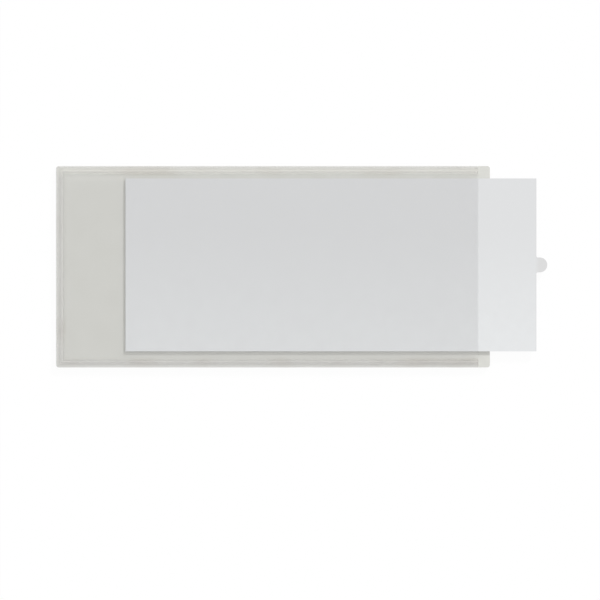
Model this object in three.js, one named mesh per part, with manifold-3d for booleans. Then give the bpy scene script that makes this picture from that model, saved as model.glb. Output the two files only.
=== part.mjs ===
// Adhesive label holder: a flat pocket of two plastic films, welded along three sides and open at the right,
// with a white label card that slides in and out, on an adhesive back under a release liner.
// Millimetres. The origin is the middle of the back, +X points to the open end and +Z out through the window.
import * as THREE from "three";
import { mergeVertices } from "three/addons/utils/BufferGeometryUtils.js";
import Module from "manifold-3d";

// Outline of the holder
const holderLength = 140;
const holderWidth = 65;
const outlineCornerRadius = 0.8;

// Layers, from the back to the window
const linerThickness = 0.12;
const adhesiveThickness = 0.13;
const adhesiveInset = 0.3; // the adhesive stops this far inside the outline
const backFilmThickness = 0.45;
const windowFilmThickness = 0.3;
const bondLine = 0.02; // left between faces that are glued or welded together

// Weld seam, where the window film is pressed down on the back film
const seamWidth = 2.1;
const seamFilmThickness = 0.22; // the weld presses the film thinner than it is in the window
const beadWidth = 0.7; // plastic squeezed out along the seam's inner edge
const beadHeight = 0.1;
const rampWidth = 1.4; // where the film climbs from the seam to the window
const windowCornerRadius = 1;

// Open end
const lipLength = 3.7; // the back film stands out this far past the mouth, for a thumb

// Label card
const cardThickness = 0.3;
const cardHeadroom = 0.1; // free space under the card and over it
const cardEndClearance = 0.2; // between the card and the pocket's end when it is pushed home
const cardTopClearance = 0.5; // the card lies against the upper side of its pocket
const cardBottomClearance = 1.7;
const cardPulledOut = 18.7; // how far it is drawn out
const tabLength = 3.5;
const tabWidth = 4.8;
const tabRootFillet = 0.5;

// Heights and places that follow from the sizes above
const adhesiveBase = linerThickness + bondLine;
const backFilmBase = adhesiveBase + adhesiveThickness + bondLine;
const pocketFloor = backFilmBase + backFilmThickness;
const seamBase = pocketFloor + bondLine;
const pocketCeiling = pocketFloor + cardThickness + 2 * cardHeadroom;
const pocketInset = seamWidth + rampWidth;
const pocketEnd = -holderLength / 2 + pocketInset;
const mouth = holderLength / 2 - lipLength;
const cardLength = mouth - pocketEnd - cardEndClearance;
const cardWidth = holderWidth - 2 * pocketInset - cardTopClearance - cardBottomClearance;

const cornerSteps = 8;
const rampSteps = 10;
const beadSteps = 8;

const wasm = await Module();
wasm.setup();

// A closed three.js geometry as a manifold-3d solid
function toSolid(geometry) {
  const points = new THREE.BufferGeometry().setAttribute("position", geometry.getAttribute("position"));
  points.setIndex(geometry.index);
  const merged = mergeVertices(points, 1e-4);
  return new wasm.Manifold(
    new wasm.Mesh({
      numProp: 3,
      vertProperties: merged.getAttribute("position").array,
      triVerts: new Uint32Array(merged.index.array),
    }),
  );
}

// A manifold-3d solid as a flat-shaded three.js geometry
function toGeometry(solid) {
  const mesh = solid.getMesh();
  const indexed = new THREE.BufferGeometry();
  indexed.setAttribute("position", new THREE.BufferAttribute(mesh.vertProperties, 3));
  indexed.setIndex(new THREE.BufferAttribute(mesh.triVerts, 1));
  const geometry = indexed.toNonIndexed();
  geometry.computeVertexNormals();
  return geometry;
}

// A rectangle round the origin with rounded corners, counter-clockwise
function roundedRectangle(length, width, radius) {
  const x = length / 2 - radius;
  const y = width / 2 - radius;
  const shape = new THREE.Shape();
  shape.absarc(x, y, radius, 0, Math.PI / 2);
  shape.absarc(-x, y, radius, Math.PI / 2, Math.PI);
  shape.absarc(-x, -y, radius, Math.PI, 1.5 * Math.PI);
  shape.absarc(x, -y, radius, 1.5 * Math.PI, 2 * Math.PI);
  return shape;
}

// A flat sheet of the holder's outline, drawn in by an inset
function flatSheet(thickness, inset) {
  const shape = roundedRectangle(
    holderLength - 2 * inset,
    holderWidth - 2 * inset,
    Math.max(outlineCornerRadius - inset, outlineCornerRadius / 2),
  );
  return new THREE.ExtrudeGeometry(shape, { depth: thickness, bevelEnabled: false, curveSegments: cornerSteps });
}

// The window film's underside at an inset from the outline: flat on the seam, then an S-shaped ramp
function undersideAt(inset) {
  const climb = THREE.MathUtils.smoothstep(inset, seamWidth, pocketInset);
  return THREE.MathUtils.lerp(seamBase, pocketCeiling, climb);
}

// The window film's thickness at an inset: pressed thin on the seam, with a bead along the seam's inner edge
function thicknessAt(inset) {
  const beadStart = seamWidth - beadWidth;
  const along = THREE.MathUtils.clamp((inset - beadStart) / beadWidth, 0, 1);
  const bead = (beadHeight * (1 - Math.cos(2 * Math.PI * along))) / 2;
  return THREE.MathUtils.lerp(seamFilmThickness, windowFilmThickness, along) + bead;
}

// One ring round the pocket at an inset from the outline. It is drawn as if the right end were closed too, beyond
// the end of the holder, so that the cut at the mouth leaves straight sides.
function ringShape(inset) {
  const radius = THREE.MathUtils.lerp(outlineCornerRadius, windowCornerRadius, inset / pocketInset);
  return roundedRectangle(holderLength + 2 * (pocketInset - inset), holderWidth - 2 * inset, radius);
}

// Cuts a solid that was drawn round a closed pocket, and moves it so that its left side stands on the outline
function openAtMouth(geometry) {
  const reach = 2 * (holderLength + holderWidth);
  const kept = new THREE.BoxGeometry(reach, reach, reach);
  kept.translate(mouth - reach / 2, 0, 0);
  geometry.translate(pocketInset, 0, 0);
  return toGeometry(toSolid(geometry).intersect(toSolid(kept)));
}

// The window: the flat middle of the film, from the top of one ramp to the top of the other
function windowGeometry() {
  const window = new THREE.ExtrudeGeometry(ringShape(pocketInset), {
    depth: windowFilmThickness,
    bevelEnabled: false,
    curveSegments: cornerSteps,
  });
  window.translate(0, 0, pocketCeiling);
  return openAtMouth(window);
}

// The film's welded edge: one section, made of the pressed seam, the bead and the ramp, lofted round the pocket
function weldedEdgeGeometry() {
  const insets = [0];
  for (let i = 0; i <= beadSteps; i++) insets.push(seamWidth - beadWidth + (beadWidth * i) / beadSteps);
  for (let i = 1; i <= rampSteps; i++) insets.push(seamWidth + (rampWidth * i) / rampSteps);

  const underside = insets.map((inset) => ({ inset, height: undersideAt(inset) }));
  const topside = insets.map((inset) => ({ inset, height: undersideAt(inset) + thicknessAt(inset) }));
  const section = [...underside, ...topside.reverse()];
  const rings = section.map(({ inset, height }) =>
    ringShape(inset)
      .extractPoints(cornerSteps)
      .shape.map((p) => new THREE.Vector3(p.x, p.y, height)),
  );
  const count = rings[0].length;
  const triangles = [];
  for (let r = 0; r < rings.length; r++) {
    const ring = r * count;
    const next = ((r + 1) % rings.length) * count;
    for (let i = 0; i < count; i++) {
      const j = (i + 1) % count;
      triangles.push(ring + i, next + i, ring + j, ring + j, next + i, next + j);
    }
  }
  const edge = new THREE.BufferGeometry().setFromPoints(rings.flat());
  edge.setIndex(triangles);
  return openAtMouth(edge);
}

// The label card with its round-ended pull tab, drawn from its left edge
function cardGeometry() {
  const half = cardWidth / 2;
  const tabRadius = tabWidth / 2;
  const root = tabRadius + tabRootFillet;
  const tabCentre = cardLength + tabLength - tabRadius;
  const shape = new THREE.Shape();
  shape.moveTo(0, -half);
  shape.lineTo(cardLength, -half);
  shape.lineTo(cardLength, -root);
  shape.absarc(cardLength + tabRootFillet, -root, tabRootFillet, Math.PI, Math.PI / 2, true);
  shape.absarc(tabCentre, 0, tabRadius, -Math.PI / 2, Math.PI / 2);
  shape.absarc(cardLength + tabRootFillet, root, tabRootFillet, -Math.PI / 2, Math.PI, true);
  shape.lineTo(cardLength, half);
  shape.lineTo(0, half);
  return new THREE.ExtrudeGeometry(shape, { depth: cardThickness, bevelEnabled: false, curveSegments: 16 });
}

const materials = {
  liner: new THREE.MeshStandardMaterial({ color: 0xe6e3d8, roughness: 0.45 }),
  adhesive: new THREE.MeshStandardMaterial({ color: 0xdedcd2, roughness: 0.3, transparent: true, opacity: 0.5 }),
  backFilm: new THREE.MeshStandardMaterial({ color: 0xd2d2ca, roughness: 0.35, transparent: true, opacity: 0.7 }),
  windowFilm: new THREE.MeshStandardMaterial({ color: 0xdcdcd6, roughness: 0.12, transparent: true, opacity: 0.25 }),
  card: new THREE.MeshStandardMaterial({ color: 0xf2f3f5, roughness: 0.85 }),
};

function addPiece(name, geometry, material, x, y, z) {
  const mesh = new THREE.Mesh(geometry, material);
  mesh.name = name;
  mesh.position.set(x, y, z);
  labelHolder.add(mesh);
}

const labelHolder = new THREE.Group();
addPiece("release_liner", flatSheet(linerThickness, 0), materials.liner, 0, 0, 0);
addPiece("adhesive_layer", flatSheet(adhesiveThickness, adhesiveInset), materials.adhesive, 0, 0, adhesiveBase);
addPiece("back_film", flatSheet(backFilmThickness, 0), materials.backFilm, 0, 0, backFilmBase);
addPiece("welded_edge", weldedEdgeGeometry(), materials.windowFilm, 0, 0, 0);
addPiece("window_film", windowGeometry(), materials.windowFilm, 0, 0, 0);
addPiece(
  "label_card",
  cardGeometry(),
  materials.card,
  pocketEnd + cardEndClearance + cardPulledOut,
  (cardBottomClearance - cardTopClearance) / 2,
  pocketFloor + cardHeadroom,
);

export default labelHolder;
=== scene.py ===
import math

import bpy
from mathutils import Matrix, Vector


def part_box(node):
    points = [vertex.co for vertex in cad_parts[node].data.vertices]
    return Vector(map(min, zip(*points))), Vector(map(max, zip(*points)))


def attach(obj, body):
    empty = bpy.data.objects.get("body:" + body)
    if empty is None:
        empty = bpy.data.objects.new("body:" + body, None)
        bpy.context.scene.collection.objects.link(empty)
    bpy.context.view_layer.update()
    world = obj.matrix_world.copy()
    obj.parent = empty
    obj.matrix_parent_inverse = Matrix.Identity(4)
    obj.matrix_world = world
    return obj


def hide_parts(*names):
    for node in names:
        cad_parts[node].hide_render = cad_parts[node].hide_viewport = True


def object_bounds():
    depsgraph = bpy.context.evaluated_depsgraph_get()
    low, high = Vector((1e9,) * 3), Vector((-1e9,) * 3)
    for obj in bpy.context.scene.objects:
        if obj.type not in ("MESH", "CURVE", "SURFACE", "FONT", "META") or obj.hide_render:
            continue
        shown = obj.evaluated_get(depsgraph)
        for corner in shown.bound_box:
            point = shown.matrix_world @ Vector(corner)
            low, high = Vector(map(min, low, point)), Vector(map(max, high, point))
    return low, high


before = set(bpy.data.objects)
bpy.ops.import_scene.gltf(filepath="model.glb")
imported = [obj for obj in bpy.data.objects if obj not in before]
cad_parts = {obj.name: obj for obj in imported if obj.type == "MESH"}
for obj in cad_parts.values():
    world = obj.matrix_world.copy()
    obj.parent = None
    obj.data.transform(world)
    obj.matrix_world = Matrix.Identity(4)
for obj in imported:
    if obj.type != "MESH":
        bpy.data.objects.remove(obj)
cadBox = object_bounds()
print("frame loaded:", ", ".join(sorted(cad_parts)))

mm = 0.001
mixA, mixB, mixResult = 6, 7, 2  # where a colour Mix node has its two colours and its result


# Small helpers

def linearColour(hexColour):  # an sRGB hex value as linear red, green, blue and alpha
    channels = [int(hexColour[i:i + 2], 16) / 255 for i in (1, 3, 5)]
    return [c / 12.92 if c <= 0.04045 else ((c + 0.055) / 1.055) ** 2.4 for c in channels] + [1]


def newMaterial(name):
    material = bpy.data.materials.new(name)
    material.use_nodes = True
    material.node_tree.nodes.clear()
    return material


def addNode(tree, kind, values=None, links=None, **settings):  # a node with its settings, values and links
    node = tree.nodes.new(kind)
    for name, setting in settings.items():
        setattr(node, name, setting)
    for socket, value in (values or {}).items():
        node.inputs[socket].default_value = value
    for socket, source in (links or {}).items():
        tree.links.new(source, node.inputs[socket])
    return node


def perPattern(size):  # a texture's Scale for a pattern whose features are this many millimetres across
    return 1 / (size * mm)


# a colour that drifts to another and back in soft patches, sized in millimetres
def mottledColour(tree, place, size, colour, patchColour, detail):
    patches = addNode(
        tree, "ShaderNodeTexNoise", {"Scale": perPattern(size), "Detail": detail}, {"Vector": place}
    )
    both = addNode(
        tree, "ShaderNodeMix", {mixA: linearColour(colour), mixB: linearColour(patchColour)},
        {"Factor": patches.outputs["Fac"]}, data_type="RGBA",
    )
    return both.outputs[mixResult]


# the normal of a surface with a fine relief, whose size and depth are in millimetres
def fineRelief(tree, place, size, depth, strength, detail):
    relief = addNode(
        tree, "ShaderNodeTexNoise", {"Scale": perPattern(size), "Detail": detail}, {"Vector": place}
    )
    bump = addNode(
        tree, "ShaderNodeBump", {"Strength": strength, "Distance": depth * mm},
        {"Height": relief.outputs["Fac"]},
    )
    return bump.outputs["Normal"]


# a sheet's colour, with a darker one on its cut edges, which face sideways: painted shade, so that the low
# key light doesn't wash the edges out
def withShadedCutEdge(tree, sheetColour, shadedEdgeColour):
    normal = addNode(tree, "ShaderNodeNewGeometry").outputs["Normal"]
    height = addNode(tree, "ShaderNodeSeparateXYZ", {}, {0: normal}).outputs["Z"]
    flat = addNode(tree, "ShaderNodeMath", {}, {0: height}, operation="ABSOLUTE")
    both = addNode(
        tree, "ShaderNodeMix", {mixA: linearColour(shadedEdgeColour)},
        {"Factor": flat.outputs["Value"], mixB: sheetColour}, data_type="RGBA",
    )
    return both.outputs[mixResult]


# a sheet that lets a share of the light straight through, to show what lies under it
def partlyClear(tree, sheet, clearness):
    through = addNode(tree, "ShaderNodeBsdfTransparent")
    both = addNode(
        tree, "ShaderNodeMixShader", {"Fac": clearness},
        {1: sheet.outputs["BSDF"], 2: through.outputs["BSDF"]},
    )
    return both.outputs["Shader"]


def paint(node, material):
    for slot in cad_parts[node].material_slots:
        slot.material = material


def selectNothing():
    bpy.ops.object.select_all(action="DESELECT")


def smoothStep(value, low, high):  # 0 up to low, 1 from high on, and an S-shaped rise between them
    share = min(max((value - low) / (high - low), 0), 1)
    return share * share * (3 - 2 * share)


# The front film: pressed down in a weld seam on three sides, up a ramp to the window, and open at the right

weldLow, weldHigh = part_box("welded_edge")
windowLow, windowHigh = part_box("window_film")

# sizes are in millimetres, and an inset is measured from the outline
frontFilm = {
    "seamWidth": 2.1,
    "seamFilm": 0.22,  # the film's thickness in the seam
    "beadWidth": 0.7,  # plastic squeezed out along the seam's inner edge
    "beadHeight": 0.1,
    "landSlope": 0.07,  # how much lower the land is at the outline, where the die pressed it down
    "landSlopeWidth": 1.3,
    "windowFilm": 0.27,  # the film's thickness in the window
    "windowLift": 0.01,  # from the pocket's ceiling up to the window's underside, before it undulates
    "windowCorner": 0.76,
    "edgeRound": 0.05,  # the cut edge is drawn in by this much at its top and foot
    "landInsets": (0.3, 0.6, 1.0),  # where the section has points on the land
    "beadSteps": 8,
    "rampSteps": 10,
    "cornerSteps": 8,
    "overrun": 12,  # modelled this far past the mouth, and cut back to it
    "gridStep": 1.6,  # between the cuts that give the film vertices to undulate with
    "mergeWithin": 0.002,  # vertices that the cuts leave nearer than this become one
    "smoothBelow": 40,  # degrees between faces that are shaded as one
    "windowWave": 0.05,  # the window's undulation, from its lowest to its highest
    "windowWaveLength": 24,
    "windowWaveFade": 6,  # it grows from nothing at the ramp over this width
    "seamWave": 0.04,
    "seamWaveLength": 13,
    "seamUpperFace": 0.6,  # share of the seam's thickness above which a vertex is on its upper face
    "weldFade": 0.2,  # the weld's look fades from this far before the ramp to this far past it
    "formedBefore": 0.3,  # the look of pressed film fades from this far before the seam's inner edge
    "formedPast": 0.7,  # to this far past it
    "rimWidth": 1.1,  # the look of the die-cut outline fades out over this width
}


# the film's closed section as (inset, height), from the window's underside round the outline to its top
def filmSection():
    size = frontFilm
    seam = size["seamWidth"]
    windowInset = (windowLow.x - weldLow.x) / mm
    base = weldLow.z / mm
    ceiling = windowLow.z / mm + size["windowLift"]

    def underside(inset):
        return base + (ceiling - base) * smoothStep(inset, seam, windowInset)

    def thickness(inset):
        along = min(max((inset - seam + size["beadWidth"]) / size["beadWidth"], 0), 1)
        bead = size["beadHeight"] * (1 - math.cos(2 * math.pi * along)) / 2
        slope = size["landSlope"] * (1 - smoothStep(inset, 0, size["landSlopeWidth"]))
        return size["seamFilm"] + (size["windowFilm"] - size["seamFilm"]) * along + bead - slope

    land = [size["edgeRound"], *size["landInsets"]]
    bead = [seam - size["beadWidth"] * (1 - i / size["beadSteps"]) for i in range(size["beadSteps"])]
    ramp = [seam + (windowInset - seam) * i / size["rampSteps"] for i in range(size["rampSteps"] + 1)]
    below = [(inset, underside(inset)) for inset in reversed(land + bead[:1] + ramp)]
    above = [(inset, underside(inset) + thickness(inset)) for inset in land + bead + ramp]
    edge = [(0, base + size["edgeRound"] / 2), (0, base + thickness(0) - size["edgeRound"] / 2)]
    return below + edge + above


def modelFrontFilm():
    size = frontFilm
    left = weldLow.x
    mouth = windowHigh.x
    outlineLength = mouth - left + size["overrun"] * mm
    outlineWidth = weldHigh.y - weldLow.y
    middle = left + outlineLength / 2
    section = [(inset * mm, height * mm) for inset, height in filmSection()]

    # the window's underside first, then one extrusion for each step of the section, scaled out and back in
    inset, height = section[0]
    selectNothing()
    bpy.ops.mesh.primitive_plane_add(size=1, location=(middle, 0, height))
    film = bpy.context.object
    film.name = "front_film"
    film.scale = (outlineLength - 2 * inset, outlineWidth - 2 * inset, 1)
    bpy.ops.object.transform_apply(location=True, rotation=True, scale=True)
    bpy.ops.object.mode_set(mode="EDIT")
    bpy.ops.mesh.select_all(action="SELECT")
    bpy.ops.mesh.bevel(offset=size["windowCorner"] * mm, segments=size["cornerSteps"], affect="VERTICES")
    bpy.ops.mesh.select_all(action="SELECT")
    for nextInset, nextHeight in section[1:]:
        bpy.ops.mesh.extrude_region_move(TRANSFORM_OT_translate={"value": (0, 0, nextHeight - height)})
        bpy.ops.transform.resize(
            value=(
                (outlineLength - 2 * nextInset) / (outlineLength - 2 * inset),
                (outlineWidth - 2 * nextInset) / (outlineWidth - 2 * inset),
                1,
            ),
            center_override=(middle, 0, nextHeight),
        )
        inset, height = nextInset, nextHeight

    # cut open at the mouth, then cut across both ways into short faces
    bpy.ops.mesh.select_all(action="SELECT")
    bpy.ops.mesh.bisect(plane_co=(mouth, 0, 0), plane_no=(1, 0, 0), use_fill=True, clear_outer=True)
    step = size["gridStep"] * mm
    for low, high, across in ((left, mouth, (1, 0, 0)), (weldLow.y, weldHigh.y, (0, 1, 0))):
        count = round((high - low) / step)
        for i in range(1, count):
            place = low + (high - low) * i / count
            bpy.ops.mesh.select_all(action="SELECT")
            bpy.ops.mesh.bisect(plane_co=[place * part for part in across], plane_no=across)
    bpy.ops.mesh.select_all(action="SELECT")
    bpy.ops.mesh.remove_doubles(threshold=size["mergeWithin"] * mm)
    bpy.ops.mesh.normals_make_consistent(inside=False)
    bpy.ops.object.mode_set(mode="OBJECT")
    return film


def insetOf(point):  # how far a point is inside the three closed sides, in metres
    return min(point.x - weldLow.x, point.y - weldLow.y, weldHigh.y - point.y)


# a gentle wave by a Displace modifier, as strong at each point as strength(point) says
def undulate(film, name, strength, waveHeight, waveLength):
    group = film.vertex_groups.new(name=name)
    for vertex in film.data.vertices:
        group.add([vertex.index], strength(vertex.co), "REPLACE")
    wave = bpy.data.textures.new(name, "CLOUDS")
    wave.noise_scale = waveLength * mm
    wave.noise_depth = 1
    displace = film.modifiers.new(name, "DISPLACE")
    displace.texture = wave
    displace.texture_coords = "LOCAL"
    displace.direction = "Z"
    displace.strength = waveHeight * mm
    displace.mid_level = 0.5
    displace.vertex_group = name
    bpy.context.view_layer.objects.active = film
    bpy.ops.object.modifier_apply(modifier=displace.name)
    film.vertex_groups.remove(film.vertex_groups[name])


def finishFrontFilm(film):
    size = frontFilm
    seam = size["seamWidth"] * mm
    windowInset = windowLow.x - weldLow.x
    fullWave = windowInset + size["windowWaveFade"] * mm
    upperFace = weldLow.z + size["seamUpperFace"] * size["seamFilm"] * mm

    undulate(
        film, "windowWave", lambda point: smoothStep(insetOf(point), windowInset, fullWave),
        size["windowWave"], size["windowWaveLength"],
    )
    undulate(
        film, "seamWave",
        lambda point: (point.z > upperFace) * (1 - smoothStep(insetOf(point), seam, windowInset)),
        size["seamWave"], size["seamWaveLength"],
    )

    # each mark is 1 at the outline and falls to 0 between its two insets, for the material to read
    marks = {
        "weld": (seam - size["weldFade"] * mm, windowInset + size["weldFade"] * mm),
        "formed": (seam - size["formedBefore"] * mm, seam + size["formedPast"] * mm),
        "rim": (0, size["rimWidth"] * mm),
    }
    for name, (low, high) in marks.items():
        mark = film.data.attributes.new(name, "FLOAT", "POINT")
        levels = [1 - smoothStep(insetOf(vertex.co), low, high) for vertex in film.data.vertices]
        mark.data.foreach_set("value", levels)
    selectNothing()
    film.select_set(True)
    bpy.context.view_layer.objects.active = film
    bpy.ops.object.shade_smooth_by_angle(angle=math.radians(size["smoothBelow"]))


# Clear soft vinyl, calendered between polished rolls: a low gloss that breaks up a little, and a trace of
# haze. The weld presses it against the back film, with patches that are fused more or less closely.
clearVinyl = {
    "tint": "#fefefe",  # what one face of the film lets through
    "weldTint": "#faf9f8",  # the same in the weld, where it is fused closely
    "looseWeldTint": "#fefefe",  # and where it is fused less closely
    "weldPatch": 17,  # millimetres across a patch of the weld
    "patchFrom": 0.48,  # a close patch starts where the weld's pattern passes this, and is full at the next
    "patchTo": 0.66,
    "haze": 0.016,  # share of the light that one face scatters
    "formedHaze": 0.3,  # where the film was stretched and pressed
    "rimHaze": 0.42,  # where the die crushed its cut edge
    "hazeColour": "#e9e8e6",
    "paintedLightUpperHaze": "#f6f5f0",  # lighter along the upper side, which faces the key light: painted light
    "rimColour": "#f4f4f2",
    "upperFrom": 4,  # that colour starts this many millimetres inside the outline, and is full at the next
    "upperTo": 1.5,
    "ior": 1.53,
    "roughness": 0.16,
    "peel": 0.9,  # millimetres across the faint orange peel that the rolls leave
    "peelDepth": 0.05,
    "peelStrength": 0.06,
}


def makeClearVinyl():
    look = clearVinyl
    material = newMaterial("clearCalenderedVinyl")
    tree = material.node_tree
    place = addNode(tree, "ShaderNodeTexCoord").outputs["Object"]
    weld, formed, rim = [
        addNode(tree, "ShaderNodeAttribute", attribute_name=name).outputs["Fac"]
        for name in ("weld", "formed", "rim")
    ]

    # what goes straight through, a little less of it where the weld is fused closely
    patches = addNode(
        tree, "ShaderNodeTexNoise", {"Scale": perPattern(look["weldPatch"]), "Detail": 1}, {"Vector": place}
    )
    fused = addNode(
        tree, "ShaderNodeMapRange", {"From Min": look["patchFrom"], "From Max": look["patchTo"]},
        {"Value": patches.outputs["Fac"]},
    )
    weldTint = addNode(
        tree, "ShaderNodeMix",
        {mixA: linearColour(look["looseWeldTint"]), mixB: linearColour(look["weldTint"])},
        {"Factor": fused.outputs["Result"]}, data_type="RGBA",
    )
    tint = addNode(
        tree, "ShaderNodeMix", {mixA: linearColour(look["tint"])},
        {"Factor": weld, mixB: weldTint.outputs[mixResult]}, data_type="RGBA",
    )
    through = addNode(tree, "ShaderNodeBsdfTransparent", {}, {"Color": tint.outputs[mixResult]})

    # the colour of the haze, which differs along the upper side, where it is painted light, and at the rim
    paintedLightUpperSide = addNode(
        tree, "ShaderNodeMapRange",
        {"From Min": weldHigh.y - look["upperFrom"] * mm, "From Max": weldHigh.y - look["upperTo"] * mm},
        {"Value": addNode(tree, "ShaderNodeSeparateXYZ", {}, {0: place}).outputs["Y"]},
    )
    milkWithPaintedLight = addNode(
        tree, "ShaderNodeMix",
        {mixA: linearColour(look["hazeColour"]), mixB: linearColour(look["paintedLightUpperHaze"])},
        {"Factor": paintedLightUpperSide.outputs["Result"]}, data_type="RGBA",
    )
    milk = addNode(
        tree, "ShaderNodeMix", {mixB: linearColour(look["rimColour"])},
        {"Factor": rim, mixA: milkWithPaintedLight.outputs[mixResult]}, data_type="RGBA",
    )
    milky = addNode(tree, "ShaderNodeBsdfDiffuse", {}, {"Color": milk.outputs[mixResult]})

    # and its share, which is more in the pressed film and most at the rim
    pressedHaze = addNode(
        tree, "ShaderNodeMapRange", {"To Min": look["haze"], "To Max": look["formedHaze"]},
        {"Value": formed},
    )
    haze = addNode(
        tree, "ShaderNodeMapRange", {"To Max": look["rimHaze"]},
        {"Value": rim, "To Min": pressedHaze.outputs["Result"]},
    )
    body = addNode(
        tree, "ShaderNodeMixShader", {},
        {"Fac": haze.outputs["Result"], 1: through.outputs["BSDF"], 2: milky.outputs["BSDF"]},
    )

    # the gloss, on the outward side of each face only
    peel = fineRelief(tree, place, look["peel"], look["peelDepth"], look["peelStrength"], detail=2)
    gloss = addNode(tree, "ShaderNodeBsdfAnisotropic", {"Roughness": look["roughness"]}, {"Normal": peel})
    fresnel = addNode(tree, "ShaderNodeFresnel", {"IOR": look["ior"]}, {"Normal": peel})
    inner = addNode(tree, "ShaderNodeNewGeometry").outputs["Backfacing"]
    outer = addNode(tree, "ShaderNodeMath", {0: 1}, {1: inner}, operation="SUBTRACT")
    shine = addNode(
        tree, "ShaderNodeMath", {}, {0: fresnel.outputs["Fac"], 1: outer.outputs["Value"]},
        operation="MULTIPLY",
    )
    surface = addNode(
        tree, "ShaderNodeMixShader", {},
        {"Fac": shine.outputs["Value"], 1: body.outputs["Shader"], 2: gloss.outputs["BSDF"]},
    )
    addNode(tree, "ShaderNodeOutputMaterial", {}, {"Surface": surface.outputs["Shader"]})
    return material


# Soft vinyl sheet with a matt calendered face: hazy, so that the adhesive and liner under it show as grey
backVinyl = {
    "colour": "#e9e9e4",
    "patchColour": "#e2e2dc",
    "shadedEdgeColour": "#c0c2bb",  # a cut edge is seen through more of the film, so it is darker; painted shade against the low key light darkens it further
    "clearness": 0.15,
    "ior": 1.53,
    "roughness": 0.5,
    "specular": 0.3,  # under the usual 0.5, because the matt grain hides part of the reflection
    "patch": 9,  # millimetres across
    "grain": 0.35,  # the real grain is too fine to show, so it is drawn coarser
    "grainDepth": 0.02,
    "grainStrength": 0.15,
}


def makeBackVinyl():
    look = backVinyl
    material = newMaterial("hazyCalenderedVinyl")
    tree = material.node_tree
    place = addNode(tree, "ShaderNodeTexCoord").outputs["Object"]
    colour = mottledColour(tree, place, look["patch"], look["colour"], look["patchColour"], detail=3)
    grain = fineRelief(tree, place, look["grain"], look["grainDepth"], look["grainStrength"], detail=2)
    film = addNode(
        tree, "ShaderNodeBsdfPrincipled",
        {"Roughness": look["roughness"], "IOR": look["ior"], "Specular IOR Level": look["specular"]},
        {"Base Color": withShadedCutEdge(tree, colour, look["shadedEdgeColour"]), "Normal": grain},
    )
    surface = partlyClear(tree, film, look["clearness"])
    addNode(tree, "ShaderNodeOutputMaterial", {}, {"Surface": surface})
    return material


# Coated acrylic adhesive: clear and a little yellow, with fine streaks where it was spread
acrylicAdhesive = {
    "colour": "#dfddd2",
    "streakColour": "#d6d4c6",
    # darker on its cut edges: the coat seen edge-on, and painted shade
    "shadedEdgeColour": "#bebaaa",
    "clearness": 0.45,
    "ior": 1.47,
    "roughness": 0.22,
    "streak": (40, 0.6, 1),  # millimetres along, across and through the coat
}


def makeAdhesive():
    look = acrylicAdhesive
    material = newMaterial("coatedAcrylicAdhesive")
    tree = material.node_tree
    place = addNode(tree, "ShaderNodeTexCoord").outputs["Object"]
    length = look["streak"][0]
    spread = addNode(
        tree, "ShaderNodeMapping", {"Scale": [length / size for size in look["streak"]]}, {"Vector": place}
    )
    colour = mottledColour(
        tree, spread.outputs["Vector"], length, look["colour"], look["streakColour"], detail=2
    )
    layer = addNode(
        tree, "ShaderNodeBsdfPrincipled", {"Roughness": look["roughness"], "IOR": look["ior"]},
        {"Base Color": withShadedCutEdge(tree, colour, look["shadedEdgeColour"])},
    )
    surface = partlyClear(tree, layer, look["clearness"])
    addNode(tree, "ShaderNodeOutputMaterial", {}, {"Surface": surface})
    return material


# Glassine release paper, supercalendered and siliconised: warm off-white, dense, cloudy, with a waxy sheen
releasePaper = {
    "colour": "#e8e5d9",
    "cloudColour": "#dfdbcc",
    # darker on its cut edges: painted shade
    "shadedEdgeColour": "#cecabc",
    "ior": 1.45,
    "roughness": 0.42,
    "cloud": 2.6,  # millimetres across
    "fibre": 0.3,  # real fibres are too fine to show, so they are drawn coarser
    "fibreDepth": 0.02,
    "fibreStrength": 0.1,
}


def makeReleasePaper():
    look = releasePaper
    material = newMaterial("siliconisedGlassinePaper")
    tree = material.node_tree
    place = addNode(tree, "ShaderNodeTexCoord").outputs["Object"]
    colour = mottledColour(tree, place, look["cloud"], look["colour"], look["cloudColour"], detail=4)
    fibres = fineRelief(tree, place, look["fibre"], look["fibreDepth"], look["fibreStrength"], detail=3)
    paper = addNode(
        tree, "ShaderNodeBsdfPrincipled", {"Roughness": look["roughness"], "IOR": look["ior"]},
        {"Base Color": withShadedCutEdge(tree, colour, look["shadedEdgeColour"]), "Normal": fibres},
    )
    addNode(tree, "ShaderNodeOutputMaterial", {}, {"Surface": paper.outputs["BSDF"]})
    return material


cardLow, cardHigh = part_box("label_card")

# Smooth uncoated index card, calendered and die-cut: cool white, matt, faintly cloudy, with painted shade
# on its upper part and on its cut edges
indexCard = {
    "paintedShadeTopColour": "#dfe0e1",  # painted shade: darker on its upper part, lightening towards the next colour at its foot, where the light falls brighter
    "paintedLightFootColour": "#e8eaeb",
    "driftFrom": 0.4,  # where that starts, as a share of the way from the holder's middle to the card's top
    "cloudColour": "#dedfe0",
    "cloudShare": 0.6,  # how far the densest cloud goes to its colour
    "tabColour": "#dbdbdb",
    "tabFrom": 4,  # that colour starts this many millimetres from the tab's end, and is full at the next
    "tabTo": 2.6,
    # darker on its cut edges: painted shade
    "shadedEdgeColour": "#c3c4c4",
    "ior": 1.45,
    "roughness": 0.82,
    "cloud": 3.2,  # millimetres across
    "fibre": 0.22,  # real fibres are too fine to show, so they are drawn coarser
    "fibreDepth": 0.02,
    "fibreStrength": 0.2,
}


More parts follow.
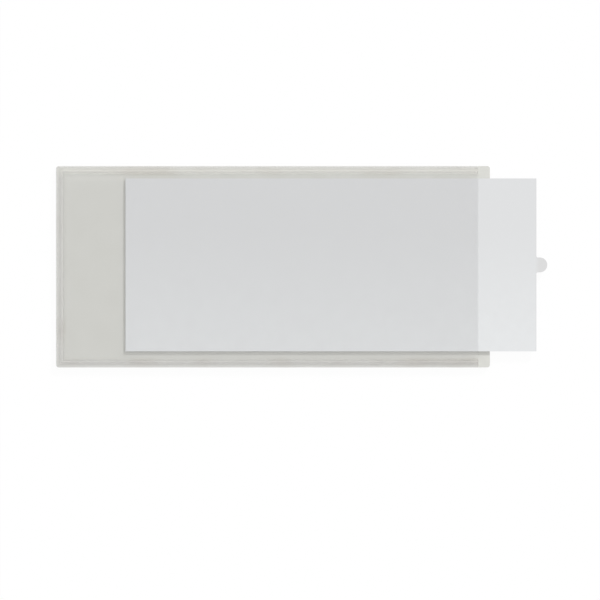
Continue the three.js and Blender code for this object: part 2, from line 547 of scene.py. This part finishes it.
def makeIndexCard():
    look = indexCard
    material = newMaterial("smoothUncoatedCard")
    tree = material.node_tree
    place = addNode(tree, "ShaderNodeTexCoord").outputs["Object"]
    where = addNode(tree, "ShaderNodeSeparateXYZ", {}, {0: place})
    across = addNode(
        tree, "ShaderNodeMapRange", {"From Min": look["driftFrom"] * cardHigh.y, "From Max": cardLow.y},
        {"Value": where.outputs["Y"]},
    )
    # painted light: the card darker towards its top and lighter towards its foot
    paintedLightDrift = addNode(
        tree, "ShaderNodeMix",
        {mixA: linearColour(look["paintedShadeTopColour"]), mixB: linearColour(look["paintedLightFootColour"])},
        {"Factor": across.outputs["Result"]}, data_type="RGBA",
    )
    clouds = addNode(
        tree, "ShaderNodeTexNoise", {"Scale": perPattern(look["cloud"]), "Detail": 4}, {"Vector": place}
    )
    cloudy = addNode(
        tree, "ShaderNodeMapRange", {"To Max": look["cloudShare"]}, {"Value": clouds.outputs["Fac"]}
    )
    sheet = addNode(
        tree, "ShaderNodeMix", {mixB: linearColour(look["cloudColour"])},
        {"Factor": cloudy.outputs["Result"], mixA: paintedLightDrift.outputs[mixResult]}, data_type="RGBA",
    )
    onTab = addNode(
        tree, "ShaderNodeMapRange",
        {"From Min": cardHigh.x - look["tabFrom"] * mm, "From Max": cardHigh.x - look["tabTo"] * mm},
        {"Value": where.outputs["X"]},
    )
    face = addNode(
        tree, "ShaderNodeMix", {mixB: linearColour(look["tabColour"])},
        {"Factor": onTab.outputs["Result"], mixA: sheet.outputs[mixResult]}, data_type="RGBA",
    )
    fibres = fineRelief(tree, place, look["fibre"], look["fibreDepth"], look["fibreStrength"], detail=3)
    paper = addNode(
        tree, "ShaderNodeBsdfPrincipled", {"Roughness": look["roughness"], "IOR": look["ior"]},
        {"Base Color": withShadedCutEdge(tree, face.outputs[mixResult], look["shadedEdgeColour"]), "Normal": fibres},
    )
    addNode(tree, "ShaderNodeOutputMaterial", {}, {"Surface": paper.outputs["BSDF"]})
    return material


film = modelFrontFilm()
finishFrontFilm(film)
film.data.materials.append(makeClearVinyl())
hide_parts("window_film", "welded_edge")
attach(film, "holder")
print("front film modelled:", len(film.data.polygons), "faces")

paint("back_film", makeBackVinyl())
paint("adhesive_layer", makeAdhesive())
paint("release_liner", makeReleasePaper())
paint("label_card", makeIndexCard())
print("back film, adhesive, liner and card finished")


# Floor, light and camera

studio = {
    "ambient": 0.74,  # the white surroundings' light on the object
    "keyStrength": 3.2,
    "keyElevation": 15,  # degrees above the floor
    "keyBearing": 57,  # degrees from +X towards +Y
    "keyAngle": 5,  # degrees that it fills of the sky, which softens its shadows
    "keyPlace": (0.4, 0.4, 0.4),  # metres, only to keep the lamp clear of the holder
    "floorSize": 4,  # metres
    "floorGap": 0.02,  # millimetres under the liner, so that their faces don't meet
    "floorGlow": 0.94,  # share of the floor's white that its shadow can't take away
}

photoCamera = {
    "frameWidth": 193.55,  # millimetres across the photograph, at the height of the holder's face
    "right": 8.71,  # millimetres from the holder's middle to the photograph's
    "below": 10.73,
    "lens": 200,
    "sensor": 36,
    "clip": (0.01, 20),  # metres
}


# 1 for what the camera sees, by itself, in a reflection or through the film, and 0 for light on its way
def lookedAt(tree):
    path = addNode(tree, "ShaderNodeLightPath")
    straight = addNode(
        tree, "ShaderNodeMath", {}, {0: path.outputs["Is Camera Ray"], 1: path.outputs["Is Glossy Ray"]},
        operation="MAXIMUM",
    )
    anyWay = addNode(
        tree, "ShaderNodeMath", {}, {0: straight.outputs["Value"], 1: path.outputs["Is Transmission Ray"]},
        operation="MAXIMUM",
    )
    return anyWay.outputs["Value"]


def makeFloor():  # white all over, apart from the object's shadow
    selectNothing()
    bpy.ops.mesh.primitive_plane_add(size=studio["floorSize"], location=(0, 0, -studio["floorGap"] * mm))
    floor = bpy.context.object
    floor.name = "studio_floor"
    material = newMaterial("whiteStudioFloor")
    tree = material.node_tree
    matt = addNode(tree, "ShaderNodeBsdfDiffuse", {"Color": linearColour("#ffffff")})
    glow = addNode(tree, "ShaderNodeEmission")
    share = addNode(
        tree, "ShaderNodeMath", {1: studio["floorGlow"]}, {0: lookedAt(tree)}, operation="MULTIPLY"
    )
    surface = addNode(
        tree, "ShaderNodeMixShader", {},
        {"Fac": share.outputs["Value"], 1: matt.outputs["BSDF"], 2: glow.outputs["Emission"]},
    )
    addNode(tree, "ShaderNodeOutputMaterial", {}, {"Surface": surface.outputs["Shader"]})
    floor.data.materials.append(material)


def makeLight():  # white surroundings, and a low key light from the upper right
    world = bpy.data.worlds.new("whiteStudio")
    bpy.context.scene.world = world
    world.use_nodes = True
    tree = world.node_tree
    tree.nodes.clear()
    white = linearColour("#ffffff")
    lit = addNode(tree, "ShaderNodeBackground", {"Color": white, "Strength": studio["ambient"]})
    shown = addNode(tree, "ShaderNodeBackground", {"Color": white, "Strength": 1})
    both = addNode(
        tree, "ShaderNodeMixShader", {},
        {"Fac": lookedAt(tree), 1: lit.outputs["Background"], 2: shown.outputs["Background"]},
    )
    addNode(tree, "ShaderNodeOutputWorld", {}, {"Surface": both.outputs["Shader"]})

    selectNothing()
    bpy.ops.object.light_add(type="SUN", location=studio["keyPlace"])
    key = bpy.context.object
    key.name = "key_light"
    key.data.energy = studio["keyStrength"]
    key.data.angle = math.radians(studio["keyAngle"])
    key.rotation_euler = (0, math.radians(90 - studio["keyElevation"]), math.radians(studio["keyBearing"]))


def makeCamera():  # straight above, with the photograph's frame
    view = photoCamera
    height = cadBox[1].z + view["frameWidth"] * mm * view["lens"] / view["sensor"]
    selectNothing()
    bpy.ops.object.camera_add(
        location=(view["right"] * mm, -view["below"] * mm, height), rotation=(0, 0, 0)
    )
    camera = bpy.context.object
    camera.name = "photo_camera"
    camera.data.lens = view["lens"]
    camera.data.sensor_width = view["sensor"]
    camera.data.clip_start, camera.data.clip_end = view["clip"]
    bpy.context.scene.camera = camera


makeFloor()
makeLight()
makeCamera()
bpy.context.scene.view_settings.view_transform = "Standard"
print("floor, light and camera set")
